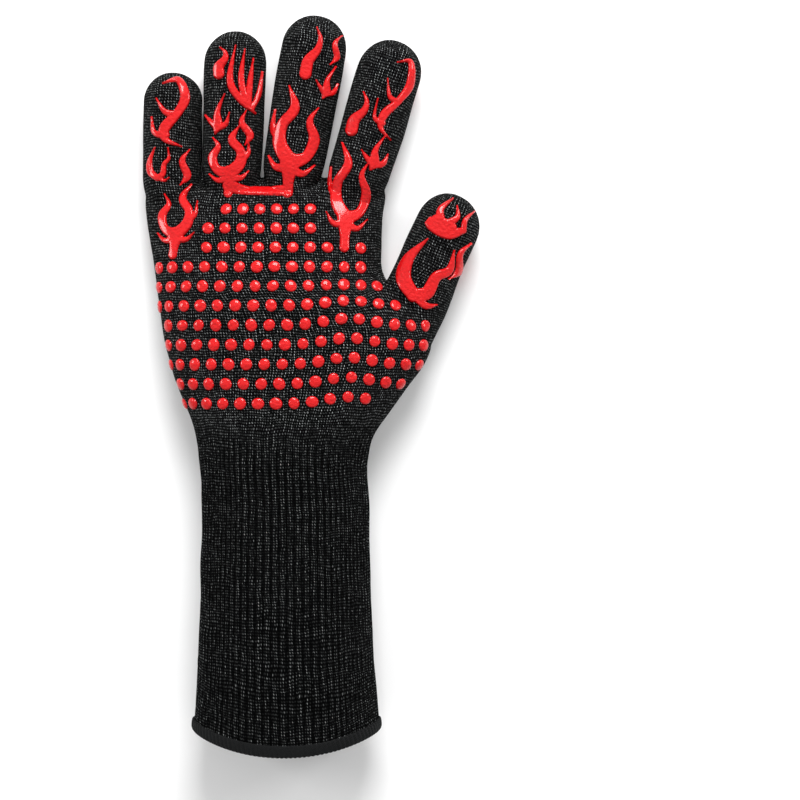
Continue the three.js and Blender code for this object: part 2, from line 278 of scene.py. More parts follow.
# The studio: lights by place and size in metres and power in watts, and a plain floor just under the glove.
LIGHTS = {
    "upper": ((0.1, 1.0, 0.9), 0.6, 20),
    "left": ((-1.1, 0.3, 0.6), 0.35, 5),
    "right": ((1.1, 0.5, 0.6), 0.35, 5),
}
WORLD_STRENGTH = 0.6
FLOOR_HALF = 4.0
FLOOR_DROP = 0.0005
FLOOR_COLOUR = (0.93, 0.93, 0.93, 1)

# Each material's dark and light colours.
KNIT_DARKS = ((0.0002, 0.0003, 0.0003, 1), (0.0007, 0.0008, 0.0009, 1))
# The knit's light colour is a painted highlight, laid on the crests of its yarn.
KNIT_PAINTED_HIGHLIGHT = (0.64, 0.67, 0.67, 1)
LINER_COLOURS = ((0.03, 0.031, 0.034, 1), (0.10, 0.104, 0.11, 1))
HEM_COLOURS = ((0.001, 0.0012, 0.0013, 1), (0.028, 0.030, 0.031, 1))
RED_COLOURS = ((0.43, 0.001, 0.002, 1), (0.66, 0.003, 0.005, 1))
# Scales of the materials' noise, from fine fibres to slow patches. The finest ones have more detail.
KNIT_FIBRES = 2600.0
KNIT_PATCHES = 45.0
KNIT_WANDER = 70.0
LINER_FLUFF = 900.0
HEM_FIBRES = 2200.0
SILICONE_GRAIN = 1500.0
SILICONE_PATCHES = 120.0
SILICONE_CREASES = 620.0
FIBRE_DETAIL = 3.0
FLUFF_DETAIL = 4.0
# A stitch: how many rows each leg of its V rises, and how full its yarn is across and along the leg.
LEG_RISE = 0.75
YARN_FULLNESS = (0.6, 0.8)
# The knit's painted highlights on the crests of its yarn: how far the noise moves the stitches, how much
# darker the painted shade makes right-hand legs, how bright the dullest stitch's painted highlight is, how
# steeply that brightness varies, and how narrow a painted highlight is on its yarn.
WANDER_REACH = 3.0
RIGHT_LEG_PAINTED_SHADE = 0.8
DULLEST = 0.1
BRIGHTNESS_POWER = 2.0
HIGHLIGHT_POWER = 8.0
# Pairs of an offset and a gain, for a value that goes from 0 to 1.
# The first pair scales the knit's painted highlight by its fibres.
FIBRE_HIGHLIGHT = (0.55, 0.9)
LINER_LIGHT = (0.4, 0.4)
SILICONE_ROUGHNESS = (0.38, 0.2)
# The liner has this many stitches to one of the knit's.
LINER_GAUGE = 1.3
# The hem's threads: strands to a thread round the hem and round its section, and how dark the painted shade
# at the strands' edges is.
HEM_TWIST = (3.0, 1.7)
STRAND_POWER = 1.5
# How much the knit's fibres and the silicone's grain add to their bumps.
FIBRE_BUMP = 0.25
GRAIN_BUMP = 0.15


def joint_point(name):
    return np.array(JOINTS[name]["pos_m"]) * MM


def joint_axis(name):
    axis = np.array(JOINTS[name]["axis"], float)
    return axis / np.linalg.norm(axis)


def node_points(name):
    mesh = frame["nodes"][name].data
    flat = np.empty(len(mesh.vertices) * 3)
    mesh.vertices.foreach_get("co", flat)
    return flat.reshape(-1, 3) * MM


def forward_of(axis):
    return np.array([-axis[1], axis[0], 0.0])


def smoothstep(value, low, high):
    share = np.clip((value - low) / (high - low), 0, 1)
    return share * share * (3 - 2 * share)


def along_curve(points, steps):
    """A smooth curve through the points, with this many steps between neighbours."""
    points = np.asarray(points, float)
    padded = np.vstack([2 * points[0] - points[1], points, 2 * points[-1] - points[-2]])
    t = np.linspace(0, 1, steps, endpoint=False)[:, None]
    pieces = []
    for a, b, c, d in zip(padded, padded[1:], padded[2:], padded[3:]):
        pieces.append(b + 0.5 * t * (c - a + t * (2 * a - 5 * b + 4 * c - d + t * (3 * (b - c) + d - a))))
    return np.vstack([*pieces, points[-1:]])


class Finger:
    """A finger's place and size, measured from the CAD: root, directions, and the folds' zones."""

    def __init__(self, name):
        self.name = name
        knuckle = "thumb_root_fold" if name == "thumb" else f"{name}_knuckle_fold"
        self.root = joint_point(knuckle)
        self.across = joint_axis(f"{name}_middle_fold")
        self.along = forward_of(self.across)
        self.fold_across = joint_axis(knuckle)
        self.fold_along = forward_of(self.fold_across)
        tip = node_points(f"{name}_tip_knit")
        base = node_points(f"{name}_base_knit")
        self.back = base[:, 2].min()
        self.half_depth = (base[:, 2].max() - self.back + FINGER_PRESS) / 2
        self.half_tip = np.abs((tip - self.root) @ self.across).max()
        start = (base - self.root) @ self.along
        near = base[start < start.min() + ROOT_SLICE]
        self.half_root = max(np.abs((near - self.root) @ self.across).max(), self.half_tip - WAIST)
        self.length = ((tip - self.root) @ self.along).max() - self.half_tip
        self.root_zone = ROOT_ZONES[name]
        self.root_taper = THUMB_TAPER if name == "thumb" else ROOT_TAPER
        self.root_lift = THUMB_LIFT if name == "thumb" else 0.0
        middle = (joint_point(f"{name}_middle_fold") - self.root) @ self.fold_along
        self.middle_zone = (max(self.root_zone[1], middle - MIDDLE_REACH), middle + MIDDLE_REACH)

    def forward(self, points):
        """How far forward of the root's fold each point is."""
        return (points - self.root) @ self.fold_along

    def local(self, points):
        """Each point's place across and along the finger."""
        return (points - self.root) @ self.across, (points - self.root) @ self.along

    def half_width(self, distance):
        share = np.clip(distance / self.length / WAIST_SHARE, 0, 1)
        return self.half_root + (self.half_tip - self.half_root) * share

    def zone_points(self, zone):
        return [(self.root + self.fold_along * edge) / MM for edge in zone]


FINGERS = {name: Finger(name) for name in ROOT_ZONES}
WRIST = joint_point("wrist_fold")
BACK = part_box("palm_knit")[0].z * MM
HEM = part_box("cuff_knit")[0].y * MM + HEM_BOW
HEM_MIDDLE = (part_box("hem_binding")[0].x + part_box("hem_binding")[1].x) / 2 * MM


# ---------------------------------------------------------------- the skin

def hand_rows():
    """The hand's rows at close steps: y, middle x, half width, half depth."""
    forward, left, right, depth = along_curve(HAND_ROWS, RING_STEPS).T
    return np.stack([forward + WRIST[1], (left + right) / 2 + WRIST[0], (right - left) / 2, depth], axis=1)


def hand_row(y):
    """The hand's row at one y."""
    rows = hand_rows()
    return [np.interp(y, rows[:, 0], rows[:, i]) for i in range(4)]


def section(half_width, half_depth, sides):
    """Places across and up on a rounded box section."""
    angles = np.arange(sides) * 2 * math.pi / sides
    rounded = [np.sign(v) * np.abs(v) ** SQUARENESS for v in (np.cos(angles), np.sin(angles))]
    return half_width * rounded[0], half_depth * rounded[1]


def hand_ring(row, inset, sides=HAND_SIDES):
    y, x, half_width, half_depth = row
    across, up = section(half_width - inset, half_depth - inset, sides)
    height = np.maximum(BACK + half_depth - HAND_PRESS + up, BACK + inset)
    return np.stack([x + across, np.full(sides, y), height], axis=1)


def kept_apart(finger, points):
    """The finger's points, moved back where they are too near a neighbouring finger."""
    if finger.name not in FINGER_ROW:
        return points
    own = outside_finger(finger, points)
    moved = points.copy()
    for other in (FINGERS[name] for name in FINGER_ROW if name != finger.name):
        short = np.maximum(SLIT - (outside_finger(other, points) - own), 0) / 2
        side = np.sign((other.root - finger.root) @ finger.across)
        moved -= side * short[:, None] * finger.across
    return moved


def finger_ring(finger, distance, shrink, inset):
    half_width = (finger.half_width(distance) - inset) * shrink
    across, up = section(half_width, (finger.half_depth - inset) * shrink, FINGER_SIDES)
    middle = finger.root + finger.along * distance
    ring = middle + across[:, None] * finger.across
    floor = finger.back + inset + finger.root_lift * (1 - smoothstep(distance, -ROOT_OVERLAP, 0))
    ring[:, 2] = np.maximum(finger.back + finger.half_depth - FINGER_PRESS + up, floor)
    return kept_apart(finger, ring)


def tube(rings):
    """A closed tube through rings of points, with a fan at each end."""
    sides = len(rings[0])
    points = np.vstack([*rings, rings[0].mean(0), rings[-1].mean(0)])
    first, last = len(points) - 2, len(points) - 1
    faces = []
    for i in range(sides):
        j = (i + 1) % sides
        for low in range(0, (len(rings) - 1) * sides, sides):
            faces.append((low + i, low + j, low + sides + j, low + sides + i))
        faces.append((first, j, i))
        faces.append((last, last - 1 - sides + i, last - 1 - sides + j))
    return points, faces


def finger_tube(finger, inset):
    rings = []
    for distance in np.linspace(-ROOT_OVERLAP, finger.length, FINGER_RINGS):
        shrink = 1 - finger.root_taper * (1 - smoothstep(distance, -ROOT_OVERLAP, 0))
        rings.append(finger_ring(finger, distance, shrink, inset))
    dome = finger.half_tip - inset
    for angle in DOME_ANGLES:
        rings.append(finger_ring(finger, finger.length + dome * math.sin(angle), math.cos(angle), inset))
    return tube(rings)


def joined(parts):
    """One list of points and one of faces from several."""
    points, faces, count = [], [], 0
    for part_points, part_faces in parts:
        points.append(part_points)
        faces += [tuple(int(v) + count for v in face) for face in part_faces]
        count += len(part_points)
    return np.vstack(points), faces


def remeshed(points, faces):
    """The outside of all the tubes together as even quads: points and quads."""
    mesh = bpy.data.meshes.new("tubes")
    mesh.from_pydata(points.tolist(), [], faces)
    tubes = bpy.data.objects.new("tubes", mesh)
    bpy.context.scene.collection.objects.link(tubes)
    remesh = tubes.modifiers.new("remesh", "REMESH")
    remesh.mode = "VOXEL"
    remesh.voxel_size = VOXEL
    smooth = tubes.modifiers.new("smooth", "SMOOTH")
    smooth.factor = SMOOTHING_FACTOR
    smooth.iterations = SMOOTHING
    result = tubes.evaluated_get(bpy.context.evaluated_depsgraph_get()).to_mesh()
    flat = np.empty(len(result.vertices) * 3)
    result.vertices.foreach_get("co", flat)
    corners = np.empty(len(result.loops), int)
    result.loops.foreach_get("vertex_index", corners)
    bpy.data.objects.remove(tubes)
    return flat.reshape(-1, 3), corners.reshape(-1, 4)


def vertex_normals(points, quads):
    a, b, c, d = (points[quads[:, i]] for i in range(4))
    face_normals = np.cross(c - a, d - b)
    normals = np.zeros_like(points)
    for i in range(4):
        for axis in range(3):
            normals[:, axis] += np.bincount(quads[:, i], face_normals[:, axis], len(points))
    return normals / np.maximum(np.linalg.norm(normals, axis=1, keepdims=True), TINY)


def arc_share(across, up, half_width, half_depth):
    """How far round its half of a section each point is, from -1 at the left edge to 1 at the right."""
    side = smoothstep(np.abs(across) / half_width, *SIDE_SHARE)
    drop = np.maximum(half_depth - np.abs(up), 0) * side
    return np.sign(across) * (np.abs(across) + drop) / (half_width + half_depth)


def hand_stitches(points):
    """Stitches round from the middle of the palm, and rows of stitches up from the wrist."""
    rows = hand_rows()
    x, half_width, half_depth = (np.interp(points[:, 1], rows[:, 0], rows[:, i]) for i in (1, 2, 3))
    half_depth = np.maximum(half_depth, KNIT_DEPTH)
    up = points[:, 2] - (BACK + half_depth - HAND_PRESS)
    share = arc_share(points[:, 0] - x, up, half_width, half_depth)
    return share * HAND_QUARTER, (points[:, 1] - WRIST[1]) / COURSE


def finger_stitches(finger, points):
    """The same for a finger, in step with the palm at its root."""
    across, along = finger.local(points)
    half_width = finger.half_width(along)
    half_depth = np.full_like(half_width, finger.half_depth)
    up = points[:, 2] - (finger.back + finger.half_depth - FINGER_PRESS)
    share = arc_share(across, up, half_width, half_depth)
    over_dome = np.arcsin(np.clip((along - finger.length) / finger.half_tip, 0, 1)) * finger.half_tip
    length = np.where(along > finger.length, finger.length + over_dome, along)
    root_u, root_v = hand_stitches((finger.root + UP * finger.half_depth)[None])
    middle = np.floor(root_u[0]) + 0.5
    return middle + share * FINGER_QUARTERS[finger.name], root_v[0] + length / COURSE


def outside_finger(finger, points):
    """How far outside the finger's sides each point is, seen from the palm."""
    across, along = finger.local(points)
    return np.abs(across) - finger.half_width(along)


def nearest_finger(points):
    """The name of the finger that each point is on or nearest to, thumb apart."""
    distances = [outside_finger(FINGERS[name], points) for name in FINGER_ROW]
    return np.array(FINGER_ROW)[np.argmin(distances, axis=0)]


def on_thumb(points):
    thumb = FINGERS["thumb"]
    return (thumb.forward(points) > thumb.root_zone[0]) & (outside_finger(thumb, points) < THUMB_MARGIN)


def stitches(points):
    """Each point's place in the knit: stitches round, rows along, and how ribbed it is."""
    u, v = hand_stitches(points)
    nearest = nearest_finger(points)
    thumb = FINGERS["thumb"]
    for name, finger in FINGERS.items():
        if name == "thumb":
            own, mix = 1 - smoothstep(outside_finger(thumb, points), 0, THUMB_FORK), THUMB_MIX
        else:
            own, mix = nearest == name, ROOT_MIX
        finger_u, finger_v = finger_stitches(finger, points)
        weight = own * smoothstep(finger.local(points)[1], *mix)
        u, v = u + (finger_u - u) * weight, v + (finger_v - v) * weight
    rib = 1 - smoothstep(points[:, 1], WRIST[1] + RIB_FADE[0], WRIST[1] + RIB_FADE[1])
    return np.stack([u, v, rib], axis=1)


def regions(centres):
    """The piece that each face belongs to: cuff, palm, or a finger's base or tip."""
    region = np.full(len(centres), "palm", dtype="U12")
    nearest = nearest_finger(centres)
    for name, finger in FINGERS.items():
        own = on_thumb(centres) if name == "thumb" else nearest == name
        forward = finger.forward(centres)
        region[own & (forward > finger.root_zone[0])] = f"{name}_base"
        region[own & (forward > finger.middle_zone[0])] = f"{name}_tip"
    region[centres[:, 1] < WRIST[1] + WRIST_ZONE[1]] = "cuff"
    return region


def bowed(points):
    """The points moved so that the straight hem bows outwards in its middle."""
    bow = HEM_BOW * np.clip(1 - ((points[:, 0] - HEM_MIDDLE) / HEM_HALF_SPAN) ** 2, 0, 1)
    moved = points.copy()
    moved[:, 1] -= bow * (1 - smoothstep(points[:, 1], HEM, HEM + HEM_FADE))
    return moved


def ripple(points):
    """The soft unevenness of the cloth: a few slow waves, from -1 to 1."""
    rng = np.random.default_rng(SEED)
    total = np.zeros(len(points))
    for _ in range(RIPPLE_WAVES):
        direction = rng.normal(size=3)
        turns = points @ direction / np.linalg.norm(direction) / rng.uniform(*RIPPLE_WAVELENGTHS)
        total += np.sin(turns * 2 * math.pi + rng.uniform(*RIPPLE_PHASES))
    return total / RIPPLE_SCALE


def whole_surface():
    """The outside of the whole glove: points, quads, and the normals from before it was thickened."""
    tubes = [tube([hand_ring(row, THIN) for row in hand_rows()])]
    tubes += [finger_tube(finger, THIN) for finger in FINGERS.values()]
    points, quads = remeshed(*joined(tubes))
    normals = vertex_normals(points, quads)
    return points + normals * THIN, quads, normals


def with_relief(points, quads, knit):
    """The points with the cuff's ribs and the cloth's unevenness, and with the hem bowed."""
    ribs = np.cos(knit[:, 0] * 2 * math.pi / RIB_WALES) * RIB_HEIGHT * knit[:, 2]
    free = smoothstep(points[:, 2], BACK, BACK + RELIEF_RISE)
    relief = (ribs + ripple(points) * RIPPLE) * free
    return bowed(points + vertex_normals(points, quads) * relief[:, None])


class Skin:
    """The outside of the whole glove before it is cut into pieces."""

    def __init__(self):
        points, quads, thin_normals = whole_surface()
        kept = points[quads].mean(1)[:, 1] > HEM
        points[np.unique(boundary_edges(quads[kept])), 1] = HEM
        knit = stitches(points)
        finished = with_relief(points, quads, knit)
        normals = vertex_normals(finished, quads)
        crushed = (normals * thin_normals).sum(1) < CRUSHED
        normals[crushed] = thin_normals[crushed]
        self.region = regions(points[quads[kept]].mean(1))
        used, quads = np.unique(quads[kept], return_inverse=True)
        self.points = finished[used]
        self.normals = normals[used]
        self.knit = knit[used]
        self.quads = quads.reshape(-1, 4)
        self.tree = BVHTree.FromPolygons(self.points.tolist(), self.quads.tolist())

    def smooth_normal(self, face):
        normal = self.normals[self.quads[face]].mean(0)
        return normal / np.linalg.norm(normal)

    def under(self, x, y, side):
        """The skin's point, normal and face at a place: side is 1 for the palm, -1 for the back."""
        hit, _, face, _ = self.tree.ray_cast(Vector((x, y, FAR * side)), Vector((0, 0, -side)))
        return (np.array(hit), self.smooth_normal(face), face) if hit else None

    def nearest(self, point):
        hit, _, face, _ = self.tree.find_nearest(Vector(point))
        return np.array(hit), self.smooth_normal(face), face


# ---------------------------------------------------------------- pieces

def add_piece(name, points, faces, material, nodes, normals=None, knit=None):
    """A closed piece in place of CAD nodes. points are in millimetres."""
    mesh = bpy.data.meshes.new(name)
    mesh.from_pydata((points / MM).tolist(), [], [tuple(map(int, face)) for face in faces])
    mesh.shade_smooth()
    if normals is None:
        mesh.set_sharp_from_angle(angle=SHARP_ANGLE)
    else:
        mesh.normals_split_custom_set_from_vertices(normals.tolist())
    if knit is not None:
        attribute = mesh.attributes.new("knit", "FLOAT_VECTOR", "POINT")
        attribute.data.foreach_set("vector", knit.astype(np.float32).ravel())
    mesh.materials.append(material)
    piece = bpy.data.objects.new(name, mesh)
    bpy.context.scene.collection.objects.link(piece)
    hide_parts(*nodes)
    return piece


def attach(piece, region):
    """The palm rides the hand's body; every other piece is baked where it stands, its fold's zone unused."""
    if region == "palm":
        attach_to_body(piece, "hand")
    elif region == "cuff":
        start, end = [(WRIST + np.array([0, edge, 0])) / MM for edge in WRIST_ZONE]
        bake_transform(piece)
    else:
        name, part = region.split("_")
        finger = FINGERS[name]
        zone = finger.root_zone if part == "base" else finger.middle_zone
        start, end = finger.zone_points(zone)
        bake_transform(piece)


def boundary_edges(quads):
    """The directed edges that only one face has."""
    edges = np.concatenate([quads[:, [i, (i + 1) % 4]] for i in range(4)])
    keys = np.sort(edges, axis=1)
    _, index, counts = np.unique(keys, axis=0, return_index=True, return_counts=True)
    return edges[index[counts == 1]]


def closed(top, low, quads):
    """A closed solid between two sets of points: its points, its faces, and which points it took."""
    used, quads = np.unique(quads, return_inverse=True)
    quads = quads.reshape(-1, 4)
    count = len(used)
    rim = [(b, a, a + count, b + count) for a, b in boundary_edges(quads)]
    faces = [*quads.tolist(), *(quads[:, ::-1] + count).tolist(), *rim]
    return np.vstack([top[used], low[used]]), faces, used


def shell(skin, region, layer):
    """A closed layer of cloth under one region of the skin: points, faces, normals, knit coordinates."""
    outer, inner = (skin.points - skin.normals * depth for depth in layer)
    points, faces, used = closed(outer, inner, skin.quads[skin.region == region])
    normals, knit = skin.normals[used], skin.knit[used]
    return points, faces, np.vstack([normals, -normals]), np.vstack([knit, knit])


def cloth(skin, looks):
    for region in np.unique(skin.region):
        for kind, layer in (("knit", KNIT_LAYER), ("liner", LINER_LAYER)):
            points, faces, normals, knit = shell(skin, region, layer)
            node = f"{region}_{kind}"
            piece = add_piece(f"{node}_cloth", points, faces, looks[kind], [node], normals, knit)
            attach(piece, region)


def hem_section():
    """The binding's outline, which way each of its points faces, and how many of them are outside."""
    outside = along_curve(HEM_OUTSIDE, HEM_CURVE_STEPS)
    outline = np.vstack([outside, HEM_INSIDE])
    turned = np.roll(outline, -1, axis=0) - np.roll(outline, 1, axis=0)
    outward = np.stack([-turned[:, 1], turned[:, 0]], axis=1)
    outward /= np.linalg.norm(outward, axis=1, keepdims=True)
    outward[(outward * (outline - outline.mean(0))).sum(1) < 0] *= -1
    return outline, outward, len(outside)


def hem_turns():
    """How many threads round the hem each point of its rings is."""
    middle_ring = bowed(hand_ring(hand_row(HEM), HEM_CORE, HEM_SIDES))
    lengths = np.linalg.norm(np.roll(middle_ring, -1, axis=0) - middle_ring, axis=1)
    arc = np.concatenate([[0], np.cumsum(lengths)[:-1]])
    return arc / lengths.sum() * round(lengths.sum() / HEM_STITCH)


def hem_ring(place, outward, reach):
    """One ring of the binding, at its inset and height, with each point moved outwards by its reach."""
    inset, height = place
    row = hand_row(HEM + height)
    ring = hand_ring(row, inset, HEM_SIDES)
    ring[:, 1] += outward[1] * reach
    away = ring - hand_ring(row, inset + 1, HEM_SIDES)
    ring -= away * (outward[0] * reach)[:, None]
    return bowed(ring)


def hoop_faces(rings, sides):
    """The faces of a hoop whose rings close on each other, all the way round its section."""
    faces = []
    for low in range(rings):
        high = (low + 1) % rings
        for i in range(sides):
            j = (i + 1) % sides
            faces.append((low * sides + i, low * sides + j, high * sides + j, high * sides + i))
    return faces


def binding(looks):
    """The overlocked binding: a U section swept round the cuff's end, with a ridge for every thread."""
    outline, outward, outside = hem_section()
    turns = hem_turns()
    rings = []
    for index, place in enumerate(outline):
        ridge = 0.5 + 0.5 * np.cos(2 * math.pi * (turns + index * HEM_SLANT))
        reach = HEM_RIDGE * np.sqrt(ridge) * (index < outside)
        rings.append(hem_ring(place, outward[index], reach))
    points = np.vstack(rings)
    strands = np.repeat(np.arange(len(outline)), HEM_SIDES) * STRAND_PITCH
    knit = np.stack([np.tile(turns, len(outline)), strands, np.zeros(len(points))], axis=1)
    faces = hoop_faces(len(outline), HEM_SIDES)
    piece = add_piece("hem_binding_thread", points, faces, looks["hem"], ["hem_binding"], knit=knit)
    attach(piece, "cuff")


# ---------------------------------------------------------------- the silicone print

def strokes_of(name):
    """All of a finger's flame strokes in its own place: points of across, along and radius."""
    placed = []
    for motif, across, along, half_width, height, lean in FLAMES[name]:
        turn = math.radians(lean)
        for stroke in motif:
            curve = along_curve(stroke, STROKE_STEPS)
            x = curve[:, 0] * half_width
            y = curve[:, 1] * height
            beside = across + x * math.cos(turn) + y * math.sin(turn)
            forward = along - x * math.sin(turn) + y * math.cos(turn)
            radius = np.maximum(curve[:, 2] * abs(half_width) * STROKE_WEIGHT, TIP_RADIUS)
            placed.append(np.stack([beside, forward, radius], axis=1))
    if name == "ring":
        placed.append(along_curve(BRIDGE, STROKE_STEPS))
    return placed


def flame_depth(name, points):
    """How deep inside the finger's flames each point is, in millimetres. Outside it is negative."""
    across, along = FINGERS[name].local(points)
    depth = np.full(len(points), -FAR)
    for stroke in strokes_of(name):
        for a, b in zip(stroke, stroke[1:]):
            step = b[:2] - a[:2]
            share = ((across - a[0]) * step[0] + (along - a[1]) * step[1]) / max(step @ step, TINY)
            share = np.clip(share, 0, 1)
            away = np.hypot(across - a[0] - share * step[0], along - a[1] - share * step[1])
            depth = np.maximum(depth, a[2] + share * (b[2] - a[2]) - away)
    return depth


def flame_cells(finger):
    """The flames' outline on a fine grid: places, depths, kept cells, and each cell's distance forward."""
    left, right, low, high = FLAME_WINDOW
    beside = np.arange(left, right, FLAME_CELL)
    forward = np.arange(low, high, FLAME_CELL)
    columns = finger.root + beside[:, None, None] * finger.fold_across
    flat = (columns + forward[None, :, None] * finger.fold_along).reshape(-1, 3)
    depth = flame_depth(finger.name, flat).reshape(len(beside), len(forward))
    index = np.arange(len(flat)).reshape(depth.shape)
    quads = np.stack([index[:-1, :-1], index[1:, :-1], index[1:, 1:], index[:-1, 1:]], axis=-1).reshape(-1, 4)
    centre_depth = depth.ravel()[quads].mean(1)
    quads = quads[centre_depth > 0]
    slope = np.stack(np.gradient(depth, FLAME_CELL), axis=-1).reshape(-1, 2)
    slope /= np.maximum((slope ** 2).sum(1, keepdims=True), LEAST_SLOPE ** 2)
    edge = np.unique(boundary_edges(quads))
    depth = depth.ravel()
    shift = np.clip(-depth[edge, None] * slope[edge], -EDGE_SHIFT, EDGE_SHIFT)
    flat[edge] += shift[:, :1] * finger.fold_across + shift[:, 1:] * finger.fold_along
    depth[edge] = 0
    return flat, np.maximum(depth, 0), quads, np.tile(forward + FLAME_CELL / 2, len(beside))[quads[:, 0]]


def laid_on(skin, finger, side, places, depth, used):
    """The flames' top and sunk points on the skin, and which places are over this finger or the palm."""
    top = np.zeros_like(places)
    low = np.zeros_like(places)
    over = np.zeros(len(places), bool)
    bevel = 1 - np.clip(depth / FLAME_BEVEL, 0, 1)
    height = PRINT_HEIGHT * np.sqrt(1 - bevel ** 2)
    for v in used:
        found = skin.under(places[v, 0], places[v, 1], side)
        if found and skin.region[found[2]].split("_")[0] in (finger.name, "palm"):
            top[v] = found[0] + found[1] * height[v]
            low[v] = found[0] - found[1] * PRINT_SUNK
            over[v] = True
    return top, low, over


def flame_relief(skin, finger, side):
    """The finger's flames as closed relief on the skin, as a list of (region, points, faces)."""
    places, depth, quads, forward = flame_cells(finger)
    top, low, over = laid_on(skin, finger, side, places, depth, np.unique(quads))
    kept = over[quads].all(1)
    quads, forward = quads[kept], forward[kept]
    if side < 0:
        quads = quads[:, ::-1]
    root, middle = finger.root_zone[0], finger.middle_zone[0]
    zones = [("palm", -FAR, root), (f"{finger.name}_base", root, middle), (f"{finger.name}_tip", middle, FAR)]
    reliefs = []
    for region, start, end in zones:
        own = quads[(forward > start) & (forward <= end)]
        if len(own):
            reliefs.append((region, *closed(top, low, own)[:2]))
    return reliefs


def dot_relief(skin, point, radius, rng):
    """A domed dot on the skin at the nearest place to the point."""
    centre, normal, _ = skin.nearest(point)
    first = np.cross(normal, [0.0, 1.0, 0.0])
    first /= np.linalg.norm(first)
    second = np.cross(normal, first)
    stretch = rng.uniform(*DOT_STRETCH)
    turn = rng.uniform(0, math.pi)
    points = [centre + normal * PRINT_HEIGHT]
    for ring in range(1, DOT_RINGS + 1):
        angle = math.pi / 2 * ring / DOT_RINGS
        reach = radius * math.sin(angle)
        height = PRINT_HEIGHT * math.cos(angle) ** DOT_ROUNDNESS if ring < DOT_RINGS else -PRINT_SUNK
        for i in range(DOT_SIDES):
            around = 2 * math.pi * i / DOT_SIDES
            wide = reach * stretch * math.cos(around)
            long = reach / stretch * math.sin(around)
            x = wide * math.cos(turn) - long * math.sin(turn)
            y = wide * math.sin(turn) + long * math.cos(turn)
            base, tilt, _ = skin.nearest(centre + first * x + second * y)
            points.append(base + tilt * height)
    points.append(centre - normal * PRINT_SUNK)
    return np.array(points), dot_faces()


def dot_faces():
    """The faces of a dot: a fan at its top, rings, and a fan underneath."""
    last = 1 + DOT_RINGS * DOT_SIDES
    faces = []
    for i in range(DOT_SIDES):
        j = (i + 1) % DOT_SIDES
        faces.append((0, 1 + j, 1 + i))
        for low in range(1, last - DOT_SIDES, DOT_SIDES):
            faces.append((low + i, low + j, low + DOT_SIDES + j, low + DOT_SIDES + i))
        faces.append((last, last - DOT_SIDES + i, last - DOT_SIDES + j))
    return faces


def dot_place(row, column, side):
    """Where a dot goes: a point near the skin, found by arc length round the hand's section, or None."""
    pitch = DOT_PITCH + DOT_SPREAD * min(row, DOT_SPREAD_ROWS)
    across = FIRST_COLUMN + column * pitch - DOT_LEAN * row ** 2
    rise = ARCH_HEIGHT * math.exp(-((across - ARCH_MIDDLE) / ARCH_REACH) ** 2) * smoothstep(row, *ARCH_ROWS)
    forward = FIRST_ROW - row * ROW_PITCH + rise
    left, right = DOT_LIMITS[row]
    if side < 0:
        left, right = -BACK_DOT_SPAN, BACK_DOT_SPAN
    ring = hand_ring(hand_row(WRIST[1] + forward), 0)
    upper = ring[:, 2] >= ring[:, 2].mean()
    ring = ring[upper if side > 0 else ~upper]
    ring = ring[np.argsort(ring[:, 0])]
    arc = np.concatenate([[0], np.cumsum(np.linalg.norm(np.diff(ring, axis=0), axis=1))])
    arc -= np.interp(WRIST[0], ring[:, 0], arc)
    if not (arc[0] < across < arc[-1] and left < across < right):
        return None
    return np.array([np.interp(across, arc, ring[:, i]) for i in range(3)])


def dots(skin, side):
    """All grip dots on one side, as a list of (region, points, faces)."""
    rng = np.random.default_rng(SEED + side)
    found = []
    for row in range(len(DOT_LIMITS)):
        for column in range(-DOT_COLUMNS, DOT_COLUMNS + 1):
            place = dot_place(row, column, side)
            if place is None:
                continue
            if max(flame_depth(name, place[None])[0] for name in FLAMES) > -DOT_CLEARANCE:
                continue
            region = skin.region[skin.nearest(place)[2]]
            if region in ("palm", "thumb_base"):
                radius = DOT_RADIUS * rng.uniform(*DOT_SIZES)
                found.append((region, *dot_relief(skin, place, radius, rng)))
    return found


def print_on(skin, side, looks):
    """The dots and flames of one side, one piece for each region."""
    reliefs = dots(skin, side)
    for finger in FINGERS.values():
        reliefs += flame_relief(skin, finger, side)
    word = "palm" if side > 0 else "back"
    for region in sorted({relief[0] for relief in reliefs}):
        points, faces = joined([relief[1:] for relief in reliefs if relief[0] == region])
        node = f"{word}_dots" if region == "palm" else f"{region}_{word}_flame"
        piece = add_piece(f"{node}_print", points, faces, looks["silicone"], [node])
        attach(piece, region)


# ---------------------------------------------------------------- materials

